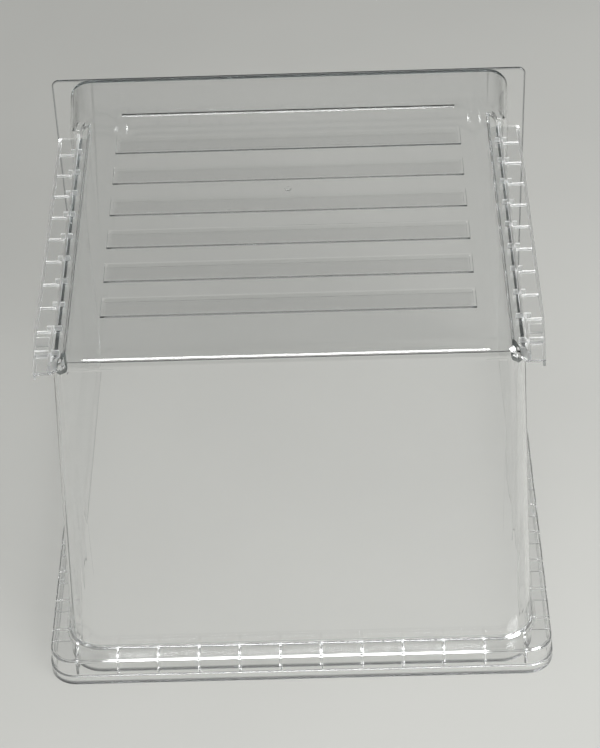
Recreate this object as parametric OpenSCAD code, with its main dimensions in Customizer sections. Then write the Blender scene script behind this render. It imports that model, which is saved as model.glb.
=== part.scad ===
// Clear freezer drawer lying upside down: its rim rests on Z = 0 and the outside of its floor faces up.
// X is the width, the rear wall faces -Y and the front panel faces +Y. All sizes are in millimetres.

/* [Overall] */
// width over the rim
rim_w = 395; // [360:1:440]
// depth from the rear edge of the rim to the face of the front panel
drawer_d = 392; // [340:1:440]
// height from the rim to the outside of the floor
drawer_h = 308; // [240:1:340]
// thickness of the moulded walls
wall_t = 2.5; // [2:0.1:3.2]
// slope of the side and rear walls, in degrees
draft = 2.5; // [1:0.1:3.5]

/* [Tub] */
// radius of the upright rear corners where the walls meet the runner step
corner_r = 14; // [13.5:0.5:18]
// radius between the floor and the rear wall
floor_r = 12.5; // [8:0.5:13]
// how far the sides of the wide head behind the panel stand in from the rim's outer edge
head_inset = 16.2; // [15.5:0.1:20]
// length of the head from its shoulder to the front panel
head_l = 65; // [50:1:90]
// radius between the floor and the sides and shoulders of the head
head_r = 17.5; // [10:0.5:19]
// radius of the upright edges of the head's shoulders
shoulder_r = 13; // [8:0.5:16]
// how far each side of the head draws in from the panel to the shoulder
head_taper = 3.6; // [1:0.1:5]

/* [Floor pattern] */
// distance from one floor groove to the next
groove_pitch = 41.6; // [40:0.1:42]
// width of a floor groove at its mouth
groove_w = 19; // [14:0.5:24]
// depth of a floor groove, raised as a rib inside the drawer
groove_depth = 1.5; // [1:0.1:2.2]
// distance from the ends of the grooves to the step walls
groove_margin = 27; // [16:0.5:40]
// distance from the front of the tub to the first wide groove
groove_front = 94.9; // [85:0.1:100]
// width of the raised bead in front of the grooves
bead_w = 4.6; // [4:0.1:6]
// height of that bead
bead_h = 1.6; // [1:0.1:1.9]

/* [Runner rails] */
// depth of the step that carries a rail, measured from the floor
step_h = 15; // [13:0.5:18]
// width of the ledge of that step
step_w = 8.3; // [7:0.1:10]
// rounding of the floor's edge along that step
step_edge_r = 3; // [1:0.5:4]
// how far a rail reaches out from the side wall
rail_reach = 16.2; // [12:0.1:18]
// thickness of the rail flange
rail_t = 2.2; // [1.8:0.1:2.6]
// distance from the shoulder of the head to the first cross rib of the rail
rail_first = 22.7; // [16:0.1:28]
// distance from one cross rib of the rail to the next
rail_pitch = 28.2; // [26:0.1:29]
// height of the ladder ribs on the rail
ladder_h = 4; // [3:0.5:7]
// how far the outer edge draws in at the rear end of the rail
lead_in = 2.8; // [1:0.1:5]
// length of the slanting rear end of the rail and of its recess
nose_l = 9.5; // [8:0.5:13]

/* [Rim channel] */
// height of the rim channel from the rim's edge to its shelf
skirt_h = 24.8; // [18:0.1:30]
// thickness of the skirt
skirt_t = 2; // [1.6:0.1:2.6]
// width of the rim outside the tub
rim_overhang = 14.9; // [12:0.1:18]
// outer radius of the rear corners of the rim
rim_corner_r = 21; // [17:0.5:26]
// rounding of the outer edge of the rim's shelf
rim_edge_r = 3; // [1.5:0.5:5]
// radius between the tub's wall and the rim's shelf
fillet_r = 5; // [3:0.5:8]
// height of the raised band along the rim's edge
band_h = 9; // [5:0.5:12]
// distance from one divider of the rear channel to the next
rear_pitch = 31.8; // [29:0.1:32.5]
// distance from one divider of the side channels to the next
side_pitch = 32.5; // [28:0.1:34]
// distance from the rear edge of the rim to the first side divider
side_start = 37.5; // [34:0.1:44]

/* [Front panel] */
// how far the edges of the front panel stand in from the rim's outer edge
panel_inset = 1.5; // [0:0.1:4]
// thickness of the front panel
panel_t = 2.5; // [2:0.1:4]
// radius of the corners of the front panel
panel_r = 6; // [3:0.5:10]

/* [Hidden] */
$fn = 96;
slope = tan(draft);
// small overlap that lets joined shapes of one piece share material
join = 0.5;
// clearance of the seams between two pieces
fit_gap = 0.2;
y_rear = -drawer_d / 2;
y_face = drawer_d / 2;
y_front = y_face - panel_t - fit_gap;
y_head = y_front - head_l;
tub_half = rim_w / 2 - rim_overhang;
tub_rear = y_rear + rim_overhang - 1;
ledge_z = drawer_h - step_h;
ledge_half = tub_half - slope * ledge_z;
step_half = ledge_half - step_w;
rim_corner = corner_r + slope * ledge_z;
edge_r = min(floor_r, corner_r - 1);
// rear wall position where the floor begins
floor_rear = tub_rear + slope * drawer_h;
// first wide groove, counted from the front
groove_first = y_front - groove_front;
// plain floor kept between the last groove and the rear wall
groove_rest = 48;
groove_count = floor((groove_first - floor_rear - groove_rest) / groove_pitch) + 1;
groove_l = 2 * (step_half - groove_margin);
groove_side = 3;
bead_y = groove_first + groove_pitch;
// slope of the bead's flanks, in degrees
bead_turn = 52;
gate_r = 2.6;
gate_h = 0.8;
// the gate mark sits between the second and third groove, a little behind their middle
gate_shift = 4.8;
gate_y = groove_first - 1.5 * groove_pitch - gate_shift;
head_w = rim_w - 2 * head_inset;
head_turn = atan(head_taper / head_l);
panel_w = rim_w - 2 * panel_inset;
rail_half = ledge_half + rail_reach;
rail_base = ledge_z + fit_gap;
rail_top = rail_base + rail_t;
rail_in = step_half + fit_gap;
rail_front = y_head - fit_gap;
rail_end = floor_rear;
rib_t = 1.8;
rib_first = y_head - rail_first;
// least distance from the last cross rib to the rear end of a rail
end_least = 15;
rib_count = floor((rib_first - rail_end - end_least) / rail_pitch) + 1;
lip_t = 2;
lip_h = 6;
// height of the ribs under the flange
under_h = 1.5;
beam_t = 2;
beam_shift = 2;
// distance of the cross ribs from the step wall, and their reach past the beam
rib_in = 3.5;
rib_over = 3.5;
nose_t = 2.2;
nose_h = 8;
nose_start = rail_end + nose_l;
nose_turn = atan(step_w / nose_l);
rib_last = rib_first - (rib_count - 1) * rail_pitch;
block_start = rib_last + rail_pitch;
stop_l = 10;
stop_h = 1.2;
stop_gap = 9;
end_rib_t = 4;
end_rib_h = 3;
divider_t = 2;
band_step = 1.2;
rear_dividers = 2 * floor((rim_w / 2 - rim_corner_r) / rear_pitch + 0.5);
side_first = y_rear + side_start;
side_end = 10;
side_dividers = floor((y_front - side_first - side_end) / side_pitch) + 1;

// outline of a sloping wall from the corner centre outward, with an optional rounding r at its top
module wall_outline(base_r, bottom, top, r) {
    reach = base_r - slope * (top - bottom);
    lean = r / cos(draft);
    centre = base_r - slope * (top - r - bottom) - lean;
    if (r > 0) {
        polygon([
            [0, bottom],
            [base_r, bottom],
            [centre + r * cos(draft), top - r + r * sin(draft)],
            [centre, top],
            [0, top]
        ]);
        intersection() {
            translate([centre, top - r]) circle(r);
            translate([centre, top - r]) square(r);
        }
    } else {
        polygon([[0, bottom], [base_r, bottom], [reach, top], [0, top]]);
    }
}

// carries a wall profile around the rear: rounded corners first, then both sides and the rear
module around_rear(half, rear, base_r, y_end) {
    cx = half - base_r;
    cy = rear + base_r;
    for (side = [-1, 1])
        translate([side * cx, cy, 0])
            rotate([0, 0, side > 0 ? -90 : 180])
                rotate_extrude(angle = 90)
                    children(0);
    for (side = [0, 1])
        mirror([side, 0, 0])
            translate([cx, y_end, 0])
                rotate([90, 0, 0])
                    linear_extrude(y_end - cy)
                        children($children - 1);
    translate([cx, cy, 0])
        rotate([90, 0, -90])
            linear_extrude(2 * cx)
                children($children - 1);
}

// box with sloping side and rear walls and conical rear corners, open towards the front at y_end
module sloped_box(half, rear, base_r, bottom, top, r, y_end) {
    cx = half - base_r;
    cy = rear + base_r;
    around_rear(half, rear, base_r, y_end) wall_outline(base_r, bottom, top, r);
    translate([-cx, cy, bottom]) cube([2 * cx, y_end - cy, top - bottom]);
}

// half-width of the head at depth y, drawn in towards the shoulder
function head_at(half, y) = half - (y_front - y) * tan(head_turn);

// section of one side of the head: straight wall with a rounded edge along the floor
module head_edge(reach, bottom, top, r) {
    translate([-reach, bottom]) square([reach, top - r - bottom]);
    translate([-reach, bottom]) square([reach - r, top - bottom]);
    translate([-r, top - r]) circle(r);
}

// section of the head seen from the side, with its rounded shoulder
module shoulder_section(bottom, top, r, y0, y1) {
    translate([y0, bottom]) square([y1 - y0, top - r - bottom]);
    translate([y0 + r, bottom]) square([y1 - y0 - r, top - bottom]);
    translate([y0 + r, top - r]) circle(r);
}

// plan of the head with its drawn-in sides and the rounded upright edges of its shoulders
module head_plan(half, r, y0, y1) {
    cx = head_at(half, y0 + r) - r / cos(head_turn);
    side_x = cx + r * cos(head_turn);
    side_y = y0 + r - r * sin(head_turn);
    polygon([
        [-head_at(half, y1), y1],
        [-side_x, side_y],
        [-cx, y0],
        [cx, y0],
        [side_x, side_y],
        [head_at(half, y1), y1]
    ]);
    for (side = [-1, 1])
        translate([side * cx, y0 + r]) circle(r);
}

module head_block(half, bottom, top, r, plan_r, y0, y1) {
    intersection() {
        for_side(0) head_flank(half, bottom, top, r, y0, y1);
        for_side(1) head_flank(half, bottom, top, r, y0, y1);
        translate([-half - 10, 0, 0])
            rotate([90, 0, 90])
                linear_extrude(2 * half + 20)
                    shoulder_section(bottom, top, r, y0, y1);
        translate([0, 0, bottom])
            linear_extrude(top - bottom)
                head_plan(half, plan_r, y0, y1);
    }
}

module for_side(side) {
    mirror([side, 0, 0]) children();
}

// one side of the head, running back along its drawn-in wall
module head_flank(half, bottom, top, r, y0, y1) {
    translate([half, y_front, 0])
        rotate([0, 0, -head_turn])
            translate([0, 10, 0])
                rotate([90, 0, 0])
                    linear_extrude(y1 - y0 + 60)
                        head_edge(2 * half + 20, bottom, top, r);
}

// room beside the floor for the two rails, closed by a slanting wall at the rear and grown by g
module runner_recess(g) {
    shift = g / cos(nose_turn);
    top_y = y_head + g;
    for (side = [0, 1])
        mirror([side, 0, 0])
            intersection() {
                translate([0, 0, ledge_z - g])
                    linear_extrude(step_h + g + 1)
                        polygon([
                            [step_half - g, top_y],
                            [tub_half, top_y],
                            [tub_half, rail_end],
                            [ledge_half - shift, rail_end],
                            [step_half - g, nose_start - (shift - g) / tan(nose_turn)]
                        ]);
                translate([0, top_y, 0])
                    rotate([90, 0, 0])
                        linear_extrude(top_y - rail_end)
                            recess_section(g);
            }
}

// section of that room, rounded where the wall around it turns from the step to the ledge
module recess_section(g) {
    wide = tub_half - step_half;
    translate([step_half, ledge_z - g]) square([wide, step_h + g + 1]);
    if (g > 0) {
        translate([step_half - g, ledge_z]) square([wide + g, step_h + 1]);
        translate([step_half, ledge_z]) circle(g);
    }
}

// takes the sharp edge off the floor along both steps
module step_rounding(half, top, r, y_end) {
    for (side = [0, 1])
        mirror([side, 0, 0])
            translate([half - r, y_end, top - r])
                rotate([90, 0, 0])
                    linear_extrude(y_end - nose_start)
                        edge_cut(r);
}

// outside of the tub as one solid
module tub_outside() {
    difference() {
        sloped_box(tub_half, tub_rear, rim_corner, 0, drawer_h, edge_r, y_front);
        runner_recess(0);
        step_rounding(step_half, drawer_h, step_edge_r, y_head);
    }
    head_block(head_w / 2, 0, drawer_h, head_r, shoulder_r, y_head, y_front);
}

// room that the tub takes inside the rim channel, seam included
module tub_seat() {
    g = fit_gap;
    sloped_box(tub_half + g, tub_rear - g, rim_corner + g, -1, ledge_z, 0, y_face);
    head_block(head_w / 2 + g, -1, ledge_z, head_r, shoulder_r, y_head - g, y_face);
}

// hollow of the tub, open at the rim
module tub_inside() {
    t = wall_t;
    difference() {
        sloped_box(tub_half - t, tub_rear + t, rim_corner - t, -1, drawer_h - t, edge_r - t, y_front - t);
        runner_recess(t);
        step_rounding(step_half - t, drawer_h - t, max(step_edge_r - t, 0.5), y_head + t);
    }
    head_block(head_w / 2 - t, -1, drawer_h - t, head_r - t, shoulder_r - t, y_head + t, y_front - t);
}

// bar with sloping flanks across the drawer, mouth up at level z
module floor_bar(y, width, depth, length, z) {
    translate([-length / 2, y, z])
        rotate([90, 0, 90])
            linear_extrude(length)
                polygon([
                    [-width / 2, 0],
                    [-width / 2 + groove_side, -depth],
                    [width / 2 - groove_side, -depth],
                    [width / 2, 0]
                ]);
}

module floor_bars(grow, z) {
    for (i = [0 : groove_count - 1])
        floor_bar(groove_first - i * groove_pitch, groove_w + grow, groove_depth, groove_l + grow, z);
}

// bead that stands up from the floor in front of the grooves: straight flanks and a rounded crest
module floor_bead() {
    r = (bead_w / 2 - bead_h / tan(bead_turn)) / tan(bead_turn / 2);
    centre = join + bead_h - r;
    side_x = r * sin(bead_turn);
    side_z = centre + r * cos(bead_turn);
    translate([-groove_l / 2, bead_y, drawer_h - join])
        rotate([90, 0, 90])
            linear_extrude(groove_l) {
                polygon([
                    [-bead_w / 2, 0],
                    [-bead_w / 2, join],
                    [-side_x, side_z],
                    [side_x, side_z],
                    [bead_w / 2, join],
                    [bead_w / 2, 0]
                ]);
                intersection() {
                    translate([0, centre]) circle(r);
                    translate([-side_x, 0]) square([2 * side_x, join + bead_h]);
                }
            }
}

module tub() {
    color([0.86, 0.9, 0.88, 0.4]) {
        difference() {
            union() {
                difference() {
                    tub_outside();
                    tub_inside();
                }
                floor_bars(2 * wall_t, drawer_h - wall_t);
            }
            floor_bars(0, drawer_h);
        }
        floor_bead();
        translate([0, gate_y, drawer_h - join]) cylinder(r = gate_r, h = gate_h + join);
    }
}

module front_panel() {
    color([0.88, 0.92, 0.9, 0.4])
        translate([0, y_face, 0])
            rotate([90, 0, 0])
                linear_extrude(panel_t) {
                    translate([-panel_w / 2 + panel_r, 0])
                        square([panel_w - 2 * panel_r, drawer_h]);
                    translate([-panel_w / 2, panel_r])
                        square([panel_w, drawer_h - 2 * panel_r]);
                    for (x = [-1, 1], z = [panel_r, drawer_h - panel_r])
                        translate([x * (panel_w / 2 - panel_r), z]) circle(panel_r);
                }
}

// half-width of the sloping side wall at height z
function side_half(z) = tub_half - slope * z;

// outer edge of the rail at depth y, drawn in behind the last but one rib
function rail_edge(y) = rail_half - lead_in * max(block_start - y, 0) / (block_start - rail_end);

// plan of the right rail flange with its drawn-in rear end
module flange_plan() {
    polygon([
        [rail_in, rail_front],
        [rail_half, rail_front],
        [rail_half, block_start],
        [rail_half - lead_in, rail_end],
        [ledge_half + fit_gap, rail_end],
        [rail_in, nose_start]
    ]);
}

// plan of the lip along the outer edge of the flange
module lip_plan() {
    polygon([
        [rail_half - lip_t, rail_front],
        [rail_half, rail_front],
        [rail_half, block_start],
        [rail_half - lead_in, rail_end],
        [rail_half - lead_in - lip_t, rail_end],
        [rail_half - lip_t, block_start]
    ]);
}

// slanting wall that closes the rear end of the rail
module nose_plan() {
    polygon([
        [rail_in, nose_start],
        [rail_in + nose_t, nose_start],
        [ledge_half + fit_gap + nose_t, rail_end],
        [ledge_half + fit_gap, rail_end]
    ]);
}

// low cross rib on the flange, through the beam
module ladder_rib(y, beam_x) {
    start = rail_in + rib_in;
    translate([start, y - rib_t / 2, rail_top - join])
        cube([beam_x + beam_t + rib_over - start, rib_t, ladder_h + join]);
}

// stiffening rib under the flange, from the side wall to the lip
module flange_rib(y, outer) {
    start = side_half(rail_base - under_h) + fit_gap;
    translate([start, y - rib_t / 2, rail_base - under_h])
        cube([outer - start, rib_t, under_h + join]);
}

module rail() {
    beam_x = ledge_half - beam_t / 2;
    end_beam_x = beam_x + beam_shift;
    end_half = rail_half - lead_in;
    translate([0, 0, rail_base]) linear_extrude(rail_t) flange_plan();
    translate([0, 0, rail_top - lip_h]) linear_extrude(lip_h) lip_plan();
    translate([beam_x, block_start, rail_top - join])
        cube([beam_t, rail_front - block_start, ladder_h + join]);
    translate([end_beam_x, rail_end, rail_top - join])
        cube([beam_t, block_start - rail_end + rib_t / 2, ladder_h + join]);
    translate([0, 0, rail_top - join]) linear_extrude(nose_h + join) nose_plan();
    for (i = [0 : rib_count - 1]) {
        y = rib_first - i * rail_pitch;
        ladder_rib(y, i < rib_count - 2 ? beam_x : end_beam_x);
        flange_rib(y, rail_edge(y) - lip_t + join);
    }
    translate([end_beam_x, rib_last - end_rib_t / 2, rail_top - join])
        cube([end_half - end_beam_x, end_rib_t, end_rib_h + join]);
    translate([ledge_half + 2 * beam_t, block_start - stop_gap - stop_l, rail_top - join])
        cube([end_half - ledge_half - 2 * beam_t, stop_l, stop_h + join]);
}

module rail_right() {
    color([0.84, 0.88, 0.86, 0.45]) rail();
}

module rail_left() {
    color([0.84, 0.88, 0.86, 0.45]) mirror([1, 0, 0]) rail();
}

// cross-section of the rim: shelf, skirt and the band along its edge, from the corner centre outward
module rim_section(inward) {
    r = rim_corner_r;
    upper = r - band_step;
    er = rim_edge_r;
    difference() {
        union() {
            translate([-inward, skirt_h - wall_t]) square([upper + inward, wall_t]);
            translate([upper - skirt_t, 0]) square([skirt_t, skirt_h]);
            translate([upper - skirt_t, 0]) square([skirt_t + band_step, band_h]);
            translate([upper - er, skirt_h - er]) square(er);
        }
        translate([upper - er, skirt_h - er]) edge_cut(er);
        translate([upper, band_h - band_step]) edge_cut(band_step);
    }
}

// what a rounding of radius r takes off a square edge
module edge_cut(r) {
    difference() {
        square(r + 1);
        circle(r);
    }
}

// rounding between the sloping wall and the rim's shelf, from the wall's corner centre outward
module fillet_section(base_r) {
    wall = base_r - slope * (skirt_h + fillet_r);
    difference() {
        translate([wall - 1, skirt_h - join]) square([fillet_r + 1, fillet_r + join]);
        translate([wall + fillet_r, skirt_h + fillet_r]) circle(fillet_r);
    }
}

module rim_dividers() {
    inner = rim_w / 2 - skirt_t + join - band_step;
    deep = rim_overhang + rim_corner;
    tall = skirt_h - wall_t + join - band_h;
    for (i = [0 : rear_dividers - 1])
        translate([(i - (rear_dividers - 1) / 2) * rear_pitch - divider_t / 2,
            y_rear + skirt_t - join + band_step, band_h])
            cube([divider_t, deep, tall]);
    for (side = [0, 1], i = [0 : side_dividers - 1])
        mirror([side, 0, 0])
            translate([inner - deep, side_first + i * side_pitch - divider_t / 2, band_h])
                cube([deep, divider_t, tall]);
}

module rim_channel() {
    color([0.85, 0.89, 0.87, 0.4])
        difference() {
            union() {
                around_rear(rim_w / 2, y_rear, rim_corner_r, y_front) {
                    rim_section(0);
                    rim_section(rim_corner);
                }
                around_rear(tub_half, tub_rear, rim_corner, y_front) fillet_section(rim_corner);
                rim_dividers();
            }
            tub_seat();
        }
}

tub();
front_panel();
rail_left();
rail_right();
rim_channel();
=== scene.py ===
# %% [markdown]
# # A clear freezer drawer, turned over on a pale table
# The real drawer is injection moulded in water-clear polystyrene. There is almost no colour to
# paint: what the eye reads is the dark and bright lines where edges, ribs and rounded corners bend
# the light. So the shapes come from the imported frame, and this script's work is the plastic, the
# small roundings on every edge, the light and the camera.

# %% Load the frame
import bpy
from mathutils import Matrix, Vector

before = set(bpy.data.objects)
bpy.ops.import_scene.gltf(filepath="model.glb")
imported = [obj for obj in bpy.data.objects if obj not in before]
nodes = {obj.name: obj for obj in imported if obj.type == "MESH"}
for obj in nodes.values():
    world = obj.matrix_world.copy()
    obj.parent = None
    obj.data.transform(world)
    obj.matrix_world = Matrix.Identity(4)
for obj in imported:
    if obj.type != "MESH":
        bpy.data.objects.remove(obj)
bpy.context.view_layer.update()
print("pieces in the frame:", sorted(nodes))

# %% [markdown]
# ## Camera
# The photograph looks down on the turned-over drawer at about forty degrees, from behind its rear
# wall and a little to the right, with a long lens. The lens and the place were worked out from the
# lines that run towards shared vanishing points, so the camera is given as a place and three
# directions, not as a target to look at.

# %% Place the camera
camera_data = bpy.data.cameras.new("photo_camera")
camera_data.lens = 115.5
camera_data.sensor_width = 36.0
camera_data.clip_end = 60.0
camera = bpy.data.objects.new("photo_camera", camera_data)
bpy.context.scene.collection.objects.link(camera)
stand = Vector((0.0369, -1.4849, 1.3880))
right = Vector((0.9995, -0.0043, -0.0316))
down = Vector((-0.0270, -0.6413, -0.7668))
ahead = Vector((-0.0170, 0.7673, -0.6411))
camera.matrix_world = Matrix((
    (right.x, -down.x, -ahead.x, stand.x),
    (right.y, -down.y, -ahead.y, stand.y),
    (right.z, -down.z, -ahead.z, stand.z),
    (0.0, 0.0, 0.0, 1.0),
))
bpy.context.scene.camera = camera
print("camera at", [round(v, 3) for v in camera.location], "lens", camera_data.lens, "mm")

# %% [markdown]
# ## Light paths
# A ray that looks through the drawer crosses many walls: two faces for each wall, and more in the
# ribbed rim. A ray that is caught inside a wall is mirrored along it many times, as in a light
# guide. Cycles stops a path after a set count of bounces and then shows black, so clear plastic in
# several layers needs a much higher count than an opaque object, for mirrored rays as well as for
# refracted ones.

# %% Let rays cross every wall
scene = bpy.context.scene
scene.view_settings.view_transform = "Standard"
most_bounces = 128
scene.cycles.max_bounces = most_bounces
scene.cycles.transmission_bounces = most_bounces
scene.cycles.glossy_bounces = most_bounces
scene.cycles.transparent_max_bounces = 32
print("bounces allowed:", most_bounces)


# %% [markdown]
# ## Helpers for shader nodes
# Every material below is made of the same few steps: add a node, set its constants on its own
# sockets, and join it to the next. Two short helpers keep those steps readable.

# %% Node helpers
def add_node(tree, kind, x, y, **settings):
    node = tree.nodes.new(kind)
    node.location = (x, y)
    for name, value in settings.items():
        setattr(node, name, value)
    return node


def new_material(name):
    material = bpy.data.materials.new(name)
    material.use_nodes = True
    material.node_tree.nodes.clear()
    return material


# %% [markdown]
# ## Table
# The table in the photograph is pale grey and almost matt. A slightly uneven grey with a slowly
# varying, high roughness gives that surface. The table isn't part of the object.

# %% Make the table
table_material = new_material("table_top")
tree = table_material.node_tree
out = add_node(tree, "ShaderNodeOutputMaterial", 700, 0)
top = add_node(tree, "ShaderNodeBsdfPrincipled", 400, 0)
top.inputs["Specular IOR Level"].default_value = 0.12
place = add_node(tree, "ShaderNodeTexCoord", -700, 0)
cloud = add_node(tree, "ShaderNodeTexNoise", -450, 0)
cloud.inputs["Scale"].default_value = 3.0
cloud.inputs["Detail"].default_value = 3.0
shade = add_node(tree, "ShaderNodeValToRGB", -150, 100)
shade.color_ramp.elements[0].position = 0.3
shade.color_ramp.elements[0].color = (0.570, 0.572, 0.548, 1)
shade.color_ramp.elements[1].position = 0.7
shade.color_ramp.elements[1].color = (0.600, 0.602, 0.576, 1)
sheen = add_node(tree, "ShaderNodeMapRange", -150, -150)
sheen.inputs["To Min"].default_value = 0.62
sheen.inputs["To Max"].default_value = 0.70
tree.links.new(place.outputs["Object"], cloud.inputs["Vector"])
tree.links.new(cloud.outputs["Fac"], shade.inputs["Fac"])
tree.links.new(cloud.outputs["Fac"], sheen.inputs["Value"])
tree.links.new(shade.outputs["Color"], top.inputs["Base Color"])
tree.links.new(sheen.outputs["Result"], top.inputs["Roughness"])
tree.links.new(top.outputs["BSDF"], out.inputs["Surface"])
table_mesh = bpy.data.meshes.new("table_top")
reach = 6.0
rim_clearance = 0.0006
corners = [(-reach, -reach, 0), (reach, -reach, 0), (reach, reach, 0), (-reach, reach, 0)]
table_mesh.from_pydata(corners, [], [(0, 1, 2, 3)])
table_mesh.materials.append(table_material)
table_top = bpy.data.objects.new("table_top", table_mesh)
table_top.location = (0, 0, -rim_clearance)
scene.collection.objects.link(table_top)
print("table top made,", 2 * reach, "m wide")

# %% [markdown]
# ## Light
# Clear plastic needs something dark to draw its edges with. An even white room would make the
# drawer vanish, so the world is grey at mid height, darker towards the horizon and darker again
# beyond the drawer, where its edges mirror the room. The white lines on the real drawer lie on
# roundings that face the camera and the ceiling, so a short soft panel hangs above and behind the
# camera. It is only as wide as those lines need: the ribs of the rails would throw a wider one
# straight back. A larger panel at the right lights the table, which fades from the near right
# corner to the far left one.

# %% Make the world
world = bpy.data.worlds.new("studio")
scene.world = world
world.use_nodes = True
tree = world.node_tree
tree.nodes.clear()
out = add_node(tree, "ShaderNodeOutputWorld", 700, 0)
sky = add_node(tree, "ShaderNodeBackground", 450, 0)
sky.inputs["Strength"].default_value = 1.0
place = add_node(tree, "ShaderNodeTexCoord", -600, 0)
split = add_node(tree, "ShaderNodeSeparateXYZ", -400, 0)
height = add_node(tree, "ShaderNodeValToRGB", 0, 0)
ramp = height.color_ramp
ramp.elements[0].position = 0.0
ramp.elements[0].color = (0.09, 0.092, 0.09, 1)
ramp.elements[1].position = 1.0
ramp.elements[1].color = (0.18, 0.182, 0.177, 1)
for spot, level in [(0.28, 0.12), (0.50, 0.38), (0.66, 0.44), (0.80, 0.26)]:
    stop = ramp.elements.new(spot)
    stop.color = (level, 1.005 * level, 0.98 * level, 1)
beyond = add_node(tree, "ShaderNodeMapRange", 0, -300, interpolation_type="SMOOTHSTEP")
beyond.inputs["From Min"].default_value = -0.1
beyond.inputs["From Max"].default_value = 0.7
dim = add_node(tree, "ShaderNodeMix", 250, 0, data_type="RGBA", blend_type="MULTIPLY")
dim.inputs["B"].default_value = (0.66, 0.66, 0.67, 1)
tree.links.new(place.outputs["Generated"], split.inputs["Vector"])
tree.links.new(split.outputs["Z"], height.inputs["Fac"])
tree.links.new(split.outputs["Y"], beyond.inputs["Value"])
tree.links.new(beyond.outputs["Result"], dim.inputs["Factor"])
tree.links.new(height.outputs["Color"], dim.inputs["A"])
tree.links.new(dim.outputs["Result"], sky.inputs["Color"])
tree.links.new(sky.outputs["Background"], out.inputs["Surface"])
print("world made, brightest at mid height")


# %% Hang the lamps
def soft_lamp(name, place, aim, size_x, size_y, power):
    lamp_data = bpy.data.lights.new(name, "AREA")
    lamp_data.shape = "RECTANGLE"
    lamp_data.size = size_x
    lamp_data.size_y = size_y
    lamp_data.energy = power
    lamp = bpy.data.objects.new(name, lamp_data)
    lamp.location = place
    lamp.rotation_mode = "QUATERNION"
    lamp.rotation_quaternion = (Vector(aim) - Vector(place)).to_track_quat("-Z", "Y")
    scene.collection.objects.link(lamp)
    return lamp


soft_lamp("short_panel", place=(-0.065, -2.1, 2.35), aim=(-0.065, 0.0, 0.25),
          size_x=0.77, size_y=0.60, power=17.0)
soft_lamp("side_panel", place=(2.2, -2.1, 2.1), aim=(0.0, 0.0, 0.0),
          size_x=1.9, size_y=1.9, power=156.0)

# %% [markdown]
# ## Clear plastic
# All pieces are the same polished polystyrene. What differs over a moulding is slight: faint flow
# ripples from the gate, a breath of haze where it has been handled, and a scuffed, rougher edge where
# the drawer is set down. Along that foot the colour is also darkened: that is painted shade, a dark
# line for the contact shadow at the table. The ripple, the haze, the cast, the scuffed foot and its
# painted shade are one shader node group, so each piece sets its own amounts.

# %% Group for the moulded surface
surface_group = bpy.data.node_groups.new("moulded_clear_surface", "ShaderNodeTree")
face = surface_group.interface
for name, kind, value in [
    ("Cast", "NodeSocketColor", (0.98, 0.98, 0.98, 1)),
    ("Haze", "NodeSocketFloat", 0.03),
    ("Ripple Scale", "NodeSocketFloat", 14.0),
    ("Ripple Depth", "NodeSocketFloat", 0.02),
    ("Foot Height", "NodeSocketFloat", 0.003),
    ("Foot Shade", "NodeSocketColor", (0.12, 0.125, 0.13, 1)),
]:
    socket = face.new_socket(name, in_out="INPUT", socket_type=kind)
    socket.default_value = value
for name, kind in [
    ("Color", "NodeSocketColor"),
    ("Roughness", "NodeSocketFloat"),
    ("Normal", "NodeSocketVector"),
]:
    face.new_socket(name, in_out="OUTPUT", socket_type=kind)
tree = surface_group
given = add_node(tree, "NodeGroupInput", -900, 0)
result = add_node(tree, "NodeGroupOutput", 700, 0)
place = add_node(tree, "ShaderNodeTexCoord", -900, -300)
flow = add_node(tree, "ShaderNodeTexNoise", -600, -300)
flow.inputs["Detail"].default_value = 1.5
flow.inputs["Distortion"].default_value = 0.6
touch = add_node(tree, "ShaderNodeTexNoise", -600, 150)
touch.inputs["Scale"].default_value = 9.0
touch.inputs["Detail"].default_value = 5.0
touch.inputs["Roughness"].default_value = 0.65
spread = add_node(tree, "ShaderNodeMapRange", -350, 150)
spread.inputs["From Min"].default_value = 0.45
spread.inputs["From Max"].default_value = 0.80
haze = add_node(tree, "ShaderNodeMath", -100, 100, operation="MULTIPLY")
deepen = add_node(tree, "ShaderNodeMix", 200, 250, data_type="RGBA", blend_type="MULTIPLY")
deepen.inputs["B"].default_value = (0.985, 0.988, 0.987, 1)
bump = add_node(tree, "ShaderNodeBump", 200, -300)
bump.inputs["Distance"].default_value = 0.001
tree.links.new(place.outputs["Object"], flow.inputs["Vector"])
tree.links.new(given.outputs["Ripple Scale"], flow.inputs["Scale"])
tree.links.new(place.outputs["Object"], touch.inputs["Vector"])
tree.links.new(touch.outputs["Fac"], spread.inputs["Value"])
tree.links.new(spread.outputs["Result"], haze.inputs[0])
tree.links.new(given.outputs["Haze"], haze.inputs[1])
tree.links.new(given.outputs["Cast"], deepen.inputs["A"])
tree.links.new(flow.outputs["Fac"], deepen.inputs["Factor"])
tree.links.new(flow.outputs["Fac"], bump.inputs["Height"])
tree.links.new(given.outputs["Ripple Depth"], bump.inputs["Strength"])
tree.links.new(bump.outputs["Normal"], result.inputs["Normal"])
split = add_node(tree, "ShaderNodeSeparateXYZ", -600, -600)
foot = add_node(tree, "ShaderNodeMapRange", -350, -600, interpolation_type="SMOOTHSTEP")
solid = add_node(tree, "ShaderNodeMath", -600, -800, operation="MULTIPLY")
solid.inputs[1].default_value = 0.45
tree.links.new(given.outputs["Foot Height"], solid.inputs[0])
tree.links.new(solid.outputs["Value"], foot.inputs["From Min"])
foot.inputs["To Min"].default_value = 1.0
foot.inputs["To Max"].default_value = 0.0
scuff = add_node(tree, "ShaderNodeMath", 200, 50, operation="MULTIPLY_ADD")
scuff.inputs[1].default_value = 0.25
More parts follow.
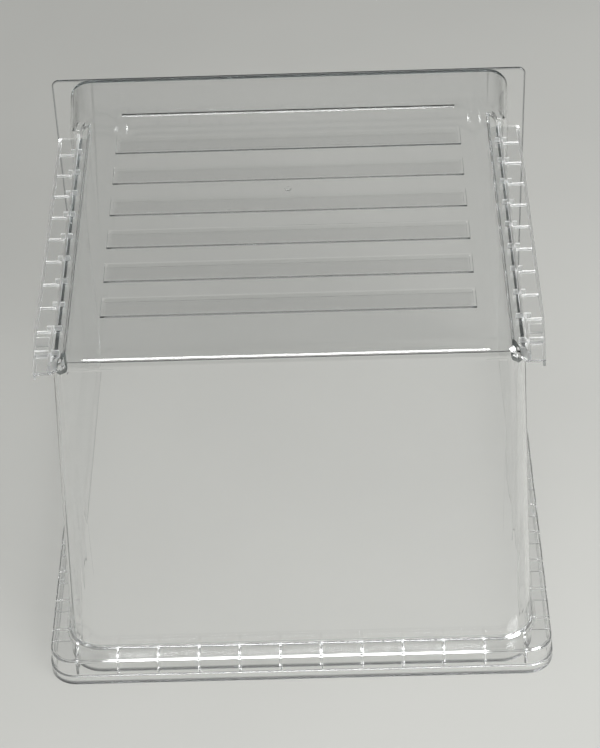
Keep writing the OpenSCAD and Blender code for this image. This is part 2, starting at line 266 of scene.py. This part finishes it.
# Painted shade: near the foot the colour is multiplied towards Foot Shade, a dark line for the contact
# shadow at the table; the same mask makes the foot rougher.
painted_foot_shade = add_node(tree, "ShaderNodeMix", 450, 250, data_type="RGBA", blend_type="MULTIPLY")
tree.links.new(place.outputs["Object"], split.inputs["Vector"])
tree.links.new(split.outputs["Z"], foot.inputs["Value"])
tree.links.new(given.outputs["Foot Height"], foot.inputs["From Max"])
tree.links.new(foot.outputs["Result"], scuff.inputs[0])
tree.links.new(haze.outputs["Value"], scuff.inputs[2])
tree.links.new(foot.outputs["Result"], painted_foot_shade.inputs["Factor"])
tree.links.new(deepen.outputs["Result"], painted_foot_shade.inputs["A"])
tree.links.new(given.outputs["Foot Shade"], painted_foot_shade.inputs["B"])
tree.links.new(painted_foot_shade.outputs["Result"], result.inputs["Color"])
tree.links.new(scuff.outputs["Value"], result.inputs["Roughness"])
print("group made:", surface_group.name)


# %% [markdown]
# The plastic itself is the Principled shader with full transmission and the refractive index of
# polystyrene. Through a wall of two and a half millimetres it looks colourless, but light that is
# caught in an edge travels far inside the plastic and loses strength on the way. A Volume
# Absorption shader does the same: walls stay clear, and edges and ribs seen end-on turn dark. Lamps
# can't shine straight through refracting walls in Cycles, so the rays that light the table see a
# slightly tinted Transparent shader instead, and the table inside the drawer is lit as the table
# around it is.

# %% One clear material for each piece
polystyrene_index = 1.55
guided_light_loss = 6.0


def clear_plastic(name, cast, haze_amount, ripple_scale, ripple_depth, shadow_tint):
    material = new_material(name)
    tree = material.node_tree
    out = add_node(tree, "ShaderNodeOutputMaterial", 700, 0)
    mix = add_node(tree, "ShaderNodeMixShader", 500, 0)
    rays = add_node(tree, "ShaderNodeLightPath", 200, 350)
    plastic = add_node(tree, "ShaderNodeBsdfPrincipled", 150, 0)
    plastic.name = "plastic"
    plastic.inputs["Transmission Weight"].default_value = 1.0
    plastic.inputs["IOR"].default_value = polystyrene_index
    lets_through = add_node(tree, "ShaderNodeBsdfTransparent", 200, -400)
    lets_through.inputs["Color"].default_value = shadow_tint
    depth = add_node(tree, "ShaderNodeVolumeAbsorption", 500, -300)
    depth.inputs["Color"].default_value = (0.35, 0.40, 0.40, 1)
    depth.inputs["Density"].default_value = guided_light_loss
    surface = add_node(tree, "ShaderNodeGroup", -150, 0)
    surface.name = "surface"
    surface.node_tree = surface_group
    surface.inputs["Cast"].default_value = cast
    surface.inputs["Haze"].default_value = haze_amount
    surface.inputs["Ripple Scale"].default_value = ripple_scale
    surface.inputs["Ripple Depth"].default_value = ripple_depth
    tree.links.new(surface.outputs["Color"], plastic.inputs["Base Color"])
    tree.links.new(surface.outputs["Roughness"], plastic.inputs["Roughness"])
    tree.links.new(surface.outputs["Normal"], plastic.inputs["Normal"])
    straight = add_node(tree, "ShaderNodeMath", 350, 350, operation="MAXIMUM")
    tree.links.new(rays.outputs["Is Shadow Ray"], straight.inputs[0])
    tree.links.new(rays.outputs["Is Diffuse Ray"], straight.inputs[1])
    tree.links.new(straight.outputs["Value"], mix.inputs["Fac"])
    tree.links.new(plastic.outputs["BSDF"], mix.inputs[1])
    tree.links.new(lets_through.outputs["BSDF"], mix.inputs[2])
    tree.links.new(mix.outputs["Shader"], out.inputs["Surface"])
    tree.links.new(depth.outputs["Volume"], out.inputs["Volume"])
    return material


clearest = (0.985, 0.985, 0.985, 1)
clear_shadow = (0.975, 0.975, 0.975, 1)
finishes = {
    "tub": clear_plastic("clear_tub", clearest, 0.03, 14.0, 0.03, clear_shadow),
    "front_panel": clear_plastic("clear_panel", clearest, 0.03, 12.0, 0.02, clear_shadow),
    "rail_left": clear_plastic(
        "clear_rail", (0.955, 0.958, 0.958, 1), 0.04, 30.0, 0.03, (0.96, 0.96, 0.96, 1)),
    "rim_channel": clear_plastic(
        "clear_rim", (0.975, 0.977, 0.977, 1), 0.04, 24.0, 0.03, (0.97, 0.97, 0.97, 1)),
}
finishes["rail_right"] = finishes["rail_left"]
for name, piece in nodes.items():
    piece.data.materials.clear()
    piece.data.materials.append(finishes[name])
    print(name, "wears", finishes[name].name, "with", len(piece.data.polygons), "faces")

# %% [markdown]
# ## Matt strips with painted shade on the floor
# The shallow grooves across the floor read as wide strips, a little darker than the polished floor
# between them. On the real mould their bottoms are etched, so the strip scatters a little light. A
# mask finds the strips by place: the distance to the nearest groove line along the drawer, the
# groove's end across it, and the height of the floor. The mask makes the plastic rougher, and it
# darkens the strips' colour slightly: that darkening is painted shade in the grooves. The bead in
# front of the grooves, the only form that stands above the floor, gets a touch of the same roughness.
# Two helpers, used again further down, each add one step of such a mask to the material at hand.

# %% Mask the strips on the tub
groove_count = 6
groove_pitch = 0.0416
first_groove = 0.0984
groove_half = 0.0095
groove_end = 0.1345
floor_height = 0.308
etched_roughness = 0.13
bead_roughness = 0.18
tree = finishes["tub"].node_tree
plastic = tree.nodes["plastic"]
surface = tree.nodes["surface"]


def soft_limit(value, start, stop, first, last):
    limit = add_node(tree, "ShaderNodeMapRange", -600, -500, interpolation_type="SMOOTHSTEP")
    for socket, number in [("From Min", start), ("From Max", stop), ("To Min", first), ("To Max", last)]:
        limit.inputs[socket].default_value = number
    tree.links.new(value, limit.inputs["Value"])
    return limit.outputs["Result"]


def calculate(operation, first, second=None):
    step = add_node(tree, "ShaderNodeMath", -800, -500, operation=operation)
    for socket, value in zip(step.inputs, (first, second)):
        if isinstance(value, float):
            socket.default_value = value
        elif value is not None:
            tree.links.new(value, socket)
    return step.outputs["Value"]


place = add_node(tree, "ShaderNodeTexCoord", -1400, -500)
split = add_node(tree, "ShaderNodeSeparateXYZ", -1200, -500)
tree.links.new(place.outputs["Object"], split.inputs["Vector"])
from_first = calculate("SUBTRACT", split.outputs["Y"], first_groove)
from_line = calculate("PINGPONG", from_first, groove_pitch / 2)
middle = first_groove - (groove_count - 1) / 2 * groove_pitch
from_middle = calculate("ABSOLUTE", calculate("SUBTRACT", split.outputs["Y"], middle))
across = calculate("ABSOLUTE", split.outputs["X"])
in_width = soft_limit(from_line, groove_half - 0.0012, groove_half + 0.0004, 1.0, 0.0)
in_length = soft_limit(across, groove_end - 0.0015, groove_end, 1.0, 0.0)
strip = calculate("MULTIPLY", in_width, in_length)
field_half = (groove_count / 2 - 0.1) * groove_pitch
in_field = soft_limit(from_middle, field_half, field_half + 0.05 * groove_pitch, 1.0, 0.0)
in_floor = soft_limit(split.outputs["Z"], floor_height - 0.008, floor_height - 0.007, 0.0, 1.0)
field = calculate("MULTIPLY", in_field, in_floor)
mask = calculate("MULTIPLY", strip, field)
bead = soft_limit(
    split.outputs["Z"], floor_height + 0.00005, floor_height + 0.0003, 0.0, bead_roughness)
rougher = calculate("MULTIPLY_ADD", mask, etched_roughness)
tree.links.new(calculate("ADD", surface.outputs["Roughness"], bead), rougher.node.inputs[2])
# Painted shade: the colour of the groove strips is darkened to 0.90.
painted_darkening = add_node(tree, "ShaderNodeMix", -50, 250, data_type="RGBA", blend_type="MULTIPLY")
painted_darkening.inputs["B"].default_value = (0.90, 0.90, 0.90, 1)
tree.links.new(mask, painted_darkening.inputs["Factor"])
tree.links.new(surface.outputs["Color"], painted_darkening.inputs["A"])
tree.links.new(painted_darkening.outputs["Result"], plastic.inputs["Base Color"])
tree.links.new(rougher, plastic.inputs["Roughness"])
print("matt strips every", 1000 * groove_pitch, "mm")

# %% [markdown]
# ## Matt ribs on the rails
# Only the flange of a rail is polished. The ribs above and below it lie in deep pockets of the
# mould, which nobody polishes, so they are a little matt and don't flash like mirrors. Height tells
# them apart: the flange is the thin layer in between.

# %% Mask the ribs of the rails
flange_low, flange_high = 0.2932, 0.2954
rib_roughness = 0.32
tree = finishes["rail_left"].node_tree
plastic = tree.nodes["plastic"]
surface = tree.nodes["surface"]
place = add_node(tree, "ShaderNodeTexCoord", -1400, -500)
split = add_node(tree, "ShaderNodeSeparateXYZ", -1200, -500)
tree.links.new(place.outputs["Object"], split.inputs["Vector"])
below = soft_limit(split.outputs["Z"], flange_low - 0.0004, flange_low - 0.0001, 1.0, 0.0)
above = soft_limit(split.outputs["Z"], flange_high + 0.0001, flange_high + 0.0004, 0.0, 1.0)
matt = calculate("MULTIPLY_ADD", calculate("MAXIMUM", below, above), rib_roughness)
tree.links.new(surface.outputs["Roughness"], matt.node.inputs[2])
tree.links.new(matt, plastic.inputs["Roughness"])
print("ribs of the rails are matt outside the flange")

# %% [markdown]
# ## Dull edge of the front panel, with painted shade
# The faces of the front panel are polished, but its narrow edge isn't: it is a little dull, so it
# is made rougher. Its dark look from the front is painted shade: the edge's colour is darkened. The
# edge is found by its direction: where the surface no longer faces along the drawer, it is edge. The
# dark edge also mirrors itself in the outermost millimetre of the faces; that border is a painted
# reflection, found by its distance from the middle of the nearest corner's rounding.

# %% Dull the edge of the panel and paint its shade
tree = finishes["front_panel"].node_tree
plastic = tree.nodes["plastic"]
surface = tree.nodes["surface"]
place = add_node(tree, "ShaderNodeTexCoord", -1400, -500)
facing = add_node(tree, "ShaderNodeSeparateXYZ", -1200, -500)
spot = add_node(tree, "ShaderNodeSeparateXYZ", -1200, -700)
tree.links.new(place.outputs["Normal"], facing.inputs["Vector"])
tree.links.new(place.outputs["Object"], spot.inputs["Vector"])
edge = soft_limit(calculate("ABSOLUTE", facing.outputs["Y"]), 0.55, 0.95, 1.0, 0.0)
corner = 0.006
panel_half, panel_middle = 0.196, 0.154
edge_roughness = 0.20
from_side = calculate("ABSOLUTE", spot.outputs["X"])
past_x = calculate("MAXIMUM", calculate("SUBTRACT", from_side, panel_half - corner), 0.0)
from_middle = calculate("ABSOLUTE", calculate("SUBTRACT", spot.outputs["Z"], panel_middle))
past_z = calculate("MAXIMUM", calculate("SUBTRACT", from_middle, panel_middle - corner), 0.0)
squares = calculate("ADD", calculate("POWER", past_x, 2.0), calculate("POWER", past_z, 2.0))
outward = calculate("SQRT", squares)
border = soft_limit(outward, corner - 0.0016, corner - 0.0011, 0.0, 1.0)
duller = calculate("MULTIPLY_ADD", edge, edge_roughness)
tree.links.new(surface.outputs["Roughness"], duller.node.inputs[2])
# Painted reflection: the outermost millimetre of the faces is darkened where the dark edge mirrors
# itself.
painted_edge_reflection = add_node(tree, "ShaderNodeMix", -250, 250, data_type="RGBA", blend_type="MULTIPLY")
painted_edge_reflection.inputs["B"].default_value = (0.60, 0.61, 0.625, 1)
tree.links.new(border, painted_edge_reflection.inputs["Factor"])
tree.links.new(surface.outputs["Color"], painted_edge_reflection.inputs["A"])
# Painted shade: the colour of the edge is darkened to about a third.
painted_darkening = add_node(tree, "ShaderNodeMix", -50, 250, data_type="RGBA", blend_type="MULTIPLY")
painted_darkening.inputs["B"].default_value = (0.32, 0.33, 0.345, 1)
tree.links.new(edge, painted_darkening.inputs["Factor"])
tree.links.new(painted_edge_reflection.outputs["Result"], painted_darkening.inputs["A"])
tree.links.new(painted_darkening.outputs["Result"], plastic.inputs["Base Color"])
tree.links.new(duller, plastic.inputs["Roughness"])
print("edge of the panel dulled")

# %% [markdown]
# ## Edges
# A moulding has no knife edge: every outer edge has a rounding, of a few tenths of a millimetre on
# most pieces and of about one millimetre on the front panel, and in clear plastic that rounding is
# the line one sees. Inner corners stay as the frame has them. Corners that almost touch are joined
# and flat faces are made whole first, so that a rounding runs along the whole edge. A small group
# of geometry nodes then measures the angle at each edge: it gives the square outer edges a bevel
# weight, which the Bevel modifier follows, and a second group keeps the shading crisp where two
# faces meet at an angle. The frame's own mesh stays as it is.

# %% Groups that choose edges by their angle
def edge_group(name, output, operation, limit, spread):
    group = bpy.data.node_groups.new(name, "GeometryNodeTree")
    group.interface.new_socket("Geometry", in_out="INPUT", socket_type="NodeSocketGeometry")
    group.interface.new_socket("Geometry", in_out="OUTPUT", socket_type="NodeSocketGeometry")
    start = add_node(group, "NodeGroupInput", -400, 0)
    end = add_node(group, "NodeGroupOutput", 400, 0)
    angle = add_node(group, "GeometryNodeInputMeshEdgeAngle", -400, -200)
    chosen = add_node(group, "FunctionNodeCompare", -150, -200, data_type="FLOAT", operation=operation)
    chosen.inputs["B"].default_value = limit
    if spread:
        chosen.inputs["Epsilon"].default_value = spread
    group.links.new(angle.outputs[output], chosen.inputs["A"])
    return group, start, end, chosen


def weight_group(name, angle, spread):
    group, start, end, chosen = edge_group(name, "Signed Angle", "EQUAL", angle, spread)
    store = add_node(group, "GeometryNodeStoreNamedAttribute", 150, 0, data_type="FLOAT", domain="EDGE")
    store.inputs["Name"].default_value = "bevel_weight_edge"
    group.links.new(start.outputs["Geometry"], store.inputs["Geometry"])
    group.links.new(chosen.outputs["Result"], store.inputs["Value"])
    group.links.new(store.outputs["Geometry"], end.inputs["Geometry"])
    return group


def crisp_group(name, limit):
    group, start, end, chosen = edge_group(name, "Unsigned Angle", "GREATER_THAN", limit, 0.0)
    soft = add_node(group, "FunctionNodeBooleanMath", 0, -200, operation="NOT")
    shade = add_node(group, "GeometryNodeSetShadeSmooth", 150, 0, domain="EDGE")
    group.links.new(start.outputs["Geometry"], shade.inputs["Geometry"])
    group.links.new(chosen.outputs["Result"], soft.inputs[0])
    group.links.new(soft.outputs["Boolean"], shade.inputs["Shade Smooth"])
    group.links.new(shade.outputs["Geometry"], end.inputs["Geometry"])
    return group


right_angle = 1.571
outer_edges = weight_group("outer_edges", right_angle, 0.12)
crisp_edges = crisp_group("crisp_edges", 0.43)
soft_forms = crisp_group("soft_forms", 0.80)
print("groups made:", outer_edges.name, crisp_edges.name, soft_forms.name)

# %% Round the edges
for name, width, joined_within in [
    ("tub", 0.0003, 0.00005),
    ("front_panel", 0.00115, 0.00001),
    ("rail_left", 0.00015, 0.00001),
    ("rail_right", 0.00015, 0.00001),
    ("rim_channel", 0.0003, 0.00001),
]:
    piece = nodes[name]
    weld = piece.modifiers.new("join_corners", "WELD")
    weld.merge_threshold = joined_within
    flat = piece.modifiers.new("join_flat_faces", "DECIMATE")
    flat.decimate_type = "DISSOLVE"
    flat.angle_limit = 0.01
    choice = piece.modifiers.new("choose_edges", "NODES")
    choice.node_group = outer_edges
    rounding = piece.modifiers.new("edge_rounding", "BEVEL")
    rounding.width = width
    rounding.segments = 3
    rounding.limit_method = "WEIGHT"
    rounding.use_clamp_overlap = False
    rounding.harden_normals = False
    shading = piece.modifiers.new("crisp_shading", "NODES")
    shading.node_group = soft_forms if name == "tub" else crisp_edges
    even = piece.modifiers.new("even_shading", "WEIGHTED_NORMAL")
    even.keep_sharp = True
    print(name, "edges rounded by", 1000 * width, "mm")
